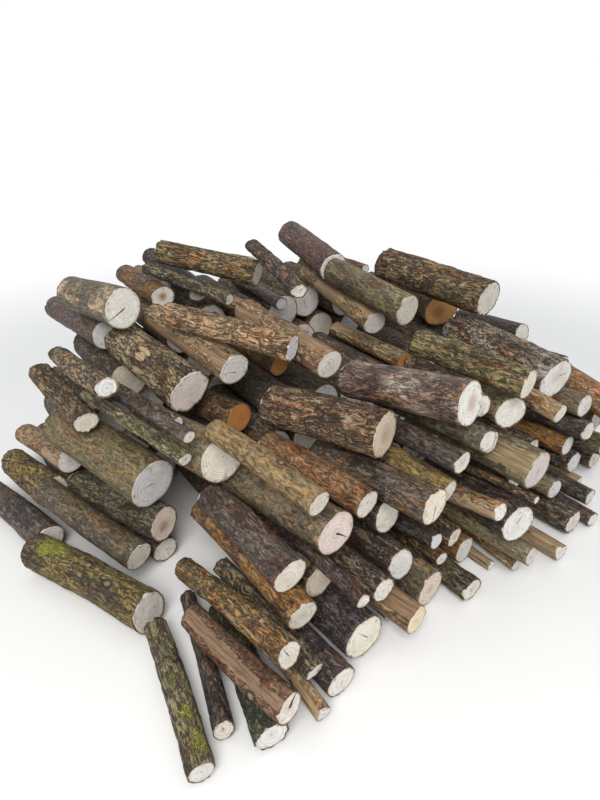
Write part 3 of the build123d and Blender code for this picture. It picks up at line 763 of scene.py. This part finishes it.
height = w.add("Mix", {0: bare, 2: at["Height"], 3: sunk}).outputs[0]
give(Colour=w.blend(bare, at["Colour"], wood), Height=height, Mask=bare, Ragged=ragged)

# %% [markdown]
# ## Knots and seams
# A knot is where a branch grew: a dark ring of bark with a paler middle. Some thin-barked logs have also
# split along their side while they dried, which leaves a narrow dark seam. The mesh stores how near a
# knot is, and the angle and half width of the seam.

# %% Knots and seams group
knot_tree, w, at, give = group(
    "knots_and_seams", {"Own": "Vector", "Mark": "Vector", "Ragged": "Float", "Colour": "Color"},
    {"Colour": "Color"})
near, angle, half_width = w.parts(at["Mark"])
near = w.uneven(near, at["Ragged"], 0.5)
colour = w.blend(w.ramp(near, 0.30, 0.50, 0.0, 0.85), at["Colour"], (0.030, 0.021, 0.015))
colour = w.blend(w.ramp(near, 0.72, 0.84, 0.0, 0.8), colour, (0.330, 0.230, 0.135))
outwards, aside, along = w.parts(w.turned(at["Own"], w.times(angle, -1.0)))
off = w.maths("ABSOLUTE", w.uneven(aside, w.along_line(along, 14.0, 2.0), 0.022))
opened = w.ramp(w.minus(off, half_width), -0.0006, 0.0004, 1.0, 0.0)
opened = w.times(opened, w.ramp(outwards, 0.0, 0.005))
give(Colour=w.blend(w.times(opened, w.ramp(half_width, 0.0001, 0.0004)), colour, (0.018, 0.012, 0.009)))

# %% [markdown]
# ## Moss and lichen
# Moss is a soft, raised, yellow-green cushion, and lichen a thin pale crust. A thin green film of algae
# lies round them. They cover the bark with a ragged edge, so the amount stored on the mesh is compared
# with noise, and only where it wins is there moss. A finer noise makes the cushion grainy.

# %% Moss group
moss_tree, w, at, give = group(
    "moss_and_lichen", {"Place": "Vector", "Amount": "Float", "Colour": "Color", "Height": "Float"},
    {"Colour": "Color", "Mask": "Float", "Height": "Float"})
clump = w.noise(at["Place"], 75.0, 3.0, 0.8)
grains = w.noise(at["Place"], 260.0, 2.0, 0.7)
edge = w.uneven(at["Amount"], clump, 2.2)
mask = w.ramp(edge, 0.66, 0.84)
crust = w.noise(at["Place"], 110.0, 1.0, 0.7)
lichen = w.times(w.ramp(crust, 0.60, 0.67), w.ramp(edge, 0.25, 0.5))
green = w.blend(w.ramp(grains, 0.32, 0.66), (0.055, 0.056, 0.012), (0.350, 0.335, 0.060))
colour = w.blend(w.ramp(edge, 0.30, 0.85, 0.0, 0.5), at["Colour"], (0.110, 0.102, 0.046))
colour = w.blend(w.times(lichen, 0.6), colour, (0.270, 0.265, 0.165))
raised = w.plus(w.times(mask, w.plus(1.2, grains)), w.times(lichen, 0.25))
give(Colour=w.blend(mask, colour, green), Mask=mask, Height=w.plus(at["Height"], raised))

# %% [markdown]
# ## The sawn face
# A fresh sawn face is pale, with faint growth rings round the pith, a darker heart on some logs, a
# thin brown line under the bark, faint lines from the saw, and dry cracks that run out from the pith. The
# rings are noise read along one number only: the distance from the pith.

# %% Growth rings, heart and pith
face_tree, w, at, give = group(
    "sawn_face",
    {"Place": "Vector", "Pith": "Vector", "Crack": "Vector", "Out": "Float", "Wood": "Color",
     "Heart": "Float", "Radius": "Float", "Seed": "Float"},
    {"Colour": "Color", "Height": "Float", "Rough": "Float"})
from_pith = w.vector("SUBTRACT", w.vector("MULTIPLY", at["Place"], (1, 1, 0)), at["Pith"])
shifted = w.add("CombineXYZ", {"Z": w.times(at["Seed"], 60.0)}).outputs[0]
own_place = w.vector("ADD", from_pith, shifted)
distance = w.add("VectorMath", {0: from_pith}, operation="LENGTH").outputs["Value"]
ringed = w.plus(distance, w.times(w.noise(own_place, 26.0), 0.007))
count = w.plus(w.times(ringed, 250.0), w.times(at["Seed"], 90.0))
rings = w.along_line(count, 1.0, 1.0)
years = w.times(w.ramp(rings, 0.46, 0.60), 0.9)
colour = w.blend(years, at["Wood"], w.tinted(at["Wood"], (0.76, 0.68, 0.58)))
cloudy = w.noise(own_place, 22.0, 4.0, 0.6)
colour = w.blend(w.ramp(cloudy, 0.46, 0.66, 0.0, 0.55), colour, w.tinted(at["Wood"], (0.80, 0.70, 0.66)))
inner = w.maths("DIVIDE", ringed, w.maths("MAXIMUM", at["Radius"], 0.01))
hearted = w.times(w.ramp(inner, 0.15, 0.55, 1.0, 0.0), at["Heart"])
colour = w.blend(hearted, colour, (0.30, 0.125, 0.045))
colour = w.blend(w.ramp(distance, 0.0012, 0.0030, 0.75, 0.0), colour, (0.15, 0.085, 0.045))
rim = w.times(w.ramp(at["Out"], 0.90, 1.0), 0.45)
colour = w.blend(rim, colour, w.tinted(at["Wood"], (0.55, 0.42, 0.28)))

# %% Dry cracks, from the pith towards the rim
turn, length, half_width = w.parts(at["Crack"])
side = w.parts(w.turned(from_pith, w.times(turn, -1.0)))
off = w.maths("ABSOLUTE", w.uneven(side[1], w.along_line(side[0], 160.0, 3.0), 0.006))
reach = w.maths("MAXIMUM", w.times(length, at["Radius"]), 0.001)
taper = w.times(w.ramp(side[0], 0.0, 0.004), w.minus(1.0, w.maths("DIVIDE", side[0], reach), clamp=True))
width = w.times(w.times(half_width, 1.6), taper)
gap = w.minus(1.0, w.ramp(w.minus(off, width), -0.0004, 0.0003), clamp=True)
gap = w.times(gap, w.ramp(taper, 0.0, 0.05))
rays = w.along_line(w.maths("ARCTAN2", side[1], side[0]), 7.0, 3.0, 0.8)
hair = w.ramp(w.maths("ABSOLUTE", w.minus(rays, 0.5)), 0.0, 0.012, 0.5, 0.0)
hair = w.times(hair, w.ramp(inner, 0.25, 0.75, 1.0, 0.0))

# %% Saw marks, specks and dirt
across_cut = w.turned(own_place, w.times(at["Seed"], 6.28))
saw = w.noise(w.vector("MULTIPLY", across_cut, (14.0, 620.0, 1.0)), 1.0)
colour = w.blend(w.ramp(saw, 0.55, 0.75, 0.0, 0.16), colour, w.tinted(at["Wood"], (0.60, 0.52, 0.44)))
cells = w.add("TexVoronoi", {"Vector": own_place, "Scale": 42.0, "Randomness": 1.0}).outputs["Distance"]
specks = w.times(w.ramp(cells, 0.05, 0.11, 0.8, 0.0), w.ramp(cloudy, 0.50, 0.56))
dark = w.maths("MAXIMUM", w.maths("MAXIMUM", gap, specks), w.times(hair, 0.5))
colour = w.blend(dark, colour, (0.045, 0.028, 0.018))
grime = w.noise(own_place, 60.0, 3.0, 0.75)
dirt = w.times(w.ramp(grime, 0.53, 0.70), w.ramp(at["Out"], 0.30, 1.05, 0.16, 0.85))
colour = w.blend(dirt, colour, (0.190, 0.130, 0.080))
height = w.minus(w.plus(w.times(saw, 0.7), w.times(rings, 0.35)), w.times(gap, 3.0))
give(Colour=colour, Height=height, Rough=w.ramp(cloudy, 0.3, 0.7, 0.62, 0.8))

# %% [markdown]
# ## Materials
# Each kind of bark gets a material that puts the groups together: bark, then bare wood where the bark is
# gone, then knots, then moss. A bump node turns the height into fine relief. Only the mossy and furrowed
# kinds have enough moss for its height to show, and only the tan kind enough bare wood.

# %% Bark materials
SURFACE = {
    # scale across and along, furrow depth, fleck share, roughness, bump in metres, whose height
    "smooth": (34.0, 9.0, 0.25, 0.30, 0.72, 0.0010, "bark"),
    "dark": (60.0, 12.0, 0.8, 0.45, 0.60, 0.0016, "bark"),
    "rusty": (55.0, 14.0, 0.8, 0.60, 0.66, 0.0017, "bark"),
    "furrowed": (50.0, 11.0, 1.5, 0.55, 0.82, 0.0024, "moss"),
    "mossy": (48.0, 13.0, 1.3, 0.50, 0.86, 0.0022, "moss"),
    "tan": (80.0, 9.0, 0.6, 0.70, 0.74, 0.0012, "wood"),
    "middle": (55.0, 10.0, 1.2, 0.40, 0.82, 0.0014, "bark"),
    "back": (55.0, 11.0, 1.2, 0.45, 0.82, 0.0018, "bark"),
}
CUT_BARK = (0.150, 0.085, 0.045)


def finish_of(name):
    """A new material, its Principled shader, and its wires."""
    material = bpy.data.materials.new(name)
    material.use_nodes = True
    return material, material.node_tree.nodes["Principled BSDF"], Wires(material.node_tree)


def bark_material(kind):
    """Bark of one kind: bark, bare wood, knots, the brown of cut bark at the ends, and moss."""
    across, along, deep, flecks, rough, bump, topmost = SURFACE[kind]
    ridge, furrow, fleck = BARK_COLOURS[kind]
    material, shader, w = finish_of(kind + "_bark")
    own, stain = w.stored("own"), w.stored("stain", "Color")
    seed = w.parts(w.stored("log_look"))[0]
    mossed, bare, out = w.parts(w.stored("cover"))
    moved = w.add("CombineXYZ", {"X": w.times(seed, 31.0), "Y": w.times(seed, 17.0), "Z": 0.0}).outputs[0]
    place = w.vector("ADD", own, moved)
    bark = w.used(bark_tree, {
        "Place": place, "Across": across, "Along": along, "Depth": deep,
        "Dark": [0.30 * v for v in ridge], "Light": [1.50 * v for v in ridge], "Furrow": furrow,
        "Furrows": min(1.0, 0.45 + deep / 3), "Fleck": fleck, "Flecks": flecks,
        "Tone": w.stored("tone", "Color"), "Stain": stain, "Stained": w.stored("stain", "Alpha")})
    wood = w.used(peeled_tree, {"Place": place, "Bare": bare, "Stain": stain, "Colour": bark["Colour"],
                                "Height": bark["Height"]})
    knots = w.used(knot_tree, {"Own": own, "Mark": w.stored("mark"), "Ragged": wood["Ragged"],
                               "Colour": wood["Colour"]})
    colour = w.blend(w.times(w.ramp(out, 0.3, 0.8), 0.55), knots["Colour"], CUT_BARK)
    amount = w.times(mossed, w.minus(1.0, w.times(wood["Mask"], 0.7)))
    moss = w.used(moss_tree, {"Place": place, "Amount": amount, "Colour": colour, "Height": wood["Height"]})
    top = {"bark": bark, "wood": wood, "moss": moss}[topmost]["Height"]
    wet = w.minus(rough, w.times(bark["Damp"], 0.25))
    w.put(shader.inputs["Base Color"], moss["Colour"])
    w.put(shader.inputs["Normal"], w.add("Bump", {"Height": top, "Strength": 1.0, "Distance": bump}).outputs[0])
    w.put(shader.inputs["Roughness"], w.add("Mix", {0: moss["Mask"], 2: wet, 3: 0.95}).outputs[0])
    w.put(shader.inputs["Specular IOR Level"], 0.35)
    return material


barks = {kind: bark_material(kind) for kind in KINDS}
print(len(barks), "bark materials")

# %% Sawn wood material
sawn, shader, w = finish_of("sawn_wood")
seed, heart, radius = w.parts(w.stored("log_look"))
face = w.used(face_tree, {
    "Place": w.stored("own"), "Pith": w.stored("pith"), "Crack": w.stored("crack"),
    "Out": w.parts(w.stored("cover"))[2], "Wood": w.stored("wood", "Color"), "Heart": heart,
    "Radius": radius, "Seed": seed})
w.put(shader.inputs["Base Color"], face["Colour"])
w.put(shader.inputs["Roughness"], face["Rough"])
relief = w.add("Bump", {"Height": face["Height"], "Strength": 1.0, "Distance": 0.0006})
w.put(shader.inputs["Normal"], relief.outputs[0])
w.put(shader.inputs["Specular IOR Level"], 0.3)
for node, piece in looks.items():
    kind = node.rsplit("_", 2)[0]
    piece.data.materials.append(barks[kind])
    piece.data.materials.append(sawn)
print("materials on", len(looks), "pieces")

# %% [markdown]
# ## Floor, light and camera
# A plain pale floor takes the heap's shadow. Further off it fades to plain white for the camera, and so
# does the world. One broad lamp from the upper left gives the logs their form, and an even pale world
# fills the shadows, at a level at which a colour comes out about as it is written. The camera stands in
# front of the heap's left corner, at eye height, looking along the logs and down on them.

# %% Floor
SPAN = 60.0  # metres from the middle of the floor to its edge
FADE_FROM, FADE_TO = 1.9, 4.2  # metres from the heap's middle over which the floor turns white
ground = cad_low[2] - 0.0005
corners = [(x * SPAN, y * SPAN, ground) for x, y in ((-1, -1), (1, -1), (1, 1), (-1, 1))]
floor_mesh = bpy.data.meshes.new("floor")
floor_mesh.from_pydata(corners, [], [(0, 1, 2, 3)])
floor = bpy.data.objects.new("floor", floor_mesh)
bpy.context.scene.collection.objects.link(floor)
floor_look, shader, w = finish_of("pale_floor")
w.put(shader.inputs["Base Color"], (0.80, 0.80, 0.79))
w.put(shader.inputs["Roughness"], 0.9)
place = w.add("TexCoord").outputs["Object"]
from_heap = w.add("VectorMath", {0: place}, operation="LENGTH").outputs["Value"]
faded = w.times(w.ramp(from_heap, FADE_FROM, FADE_TO), w.add("LightPath").outputs["Is Camera Ray"])
glow = w.add("Emission", {"Color": (1, 1, 1, 1), "Strength": 1.0}).outputs[0]
mixed = w.add("MixShader", {0: faded, 1: shader.outputs[0], 2: glow}).outputs[0]
w.put(w.tree.nodes["Material Output"].inputs["Surface"], mixed)
floor_mesh.materials.append(floor_look)
print("floor at", round(float(ground), 4))

# %% World and lamp
world = bpy.data.worlds.new("studio")
bpy.context.scene.world = world
world.use_nodes = True
w = Wires(world.node_tree)
sky = w.tree.nodes["Background"]
w.put(sky.inputs["Color"], (0.93, 0.96, 1.0))
w.put(sky.inputs["Strength"], 0.68)
white = w.add("Background", {"Color": (1, 1, 1, 1), "Strength": 1.0}).outputs[0]
path = w.add("LightPath").outputs
mirrored = w.maths("MAXIMUM", path["Is Glossy Ray"], path["Is Transmission Ray"])
seen = w.maths("MAXIMUM", path["Is Camera Ray"], mirrored)
mixed = w.add("MixShader", {0: seen, 1: sky.outputs[0], 2: white}).outputs[0]
w.put(w.tree.nodes["World Output"].inputs["Surface"], mixed)
lamp_data = bpy.data.lights.new("window_light", "AREA")
lamp_data.shape = "DISK"
lamp_data.size = 3.6
lamp_data.energy = 430
lamp_data.color = (1.0, 0.98, 0.95)
lamp = bpy.data.objects.new("window_light", lamp_data)
lamp.location = (-3.4, -4.2, 5.2)
lamp.rotation_mode = "QUATERNION"
middle = (cad_low + cad_high) / 2
lamp.rotation_quaternion = (middle - lamp.location).to_track_quat("-Z", "Y")
bpy.context.scene.collection.objects.link(lamp)
print("lamp", tuple(round(v, 2) for v in lamp.location))

# %% Camera
EYE_HEIGHT = 1.55  # metres above the ground
TILT_DOWN = 27.4  # degrees
HEADING = math.atan2(0.5592, 0.8290)  # to the right of straight ahead
LEFT_OF, IN_FRONT_OF = 0.023, 0.822  # metres from the heap's left front corner
camera_data = bpy.data.cameras.new("camera")
camera_data.sensor_fit = "HORIZONTAL"
camera_data.sensor_width = 36
camera_data.lens = 36.06
camera_data.clip_start = 0.05
camera = bpy.data.objects.new("camera", camera_data)
camera.location = (cad_low[0] - LEFT_OF, cad_low[1] - IN_FRONT_OF, EYE_HEIGHT)
camera.rotation_euler = (math.radians(90 - TILT_DOWN), 0, -HEADING)
bpy.context.scene.collection.objects.link(camera)
bpy.context.scene.camera = camera
bpy.context.scene.view_settings.view_transform = "Standard"
print("camera at", tuple(round(v, 3) for v in camera.location))
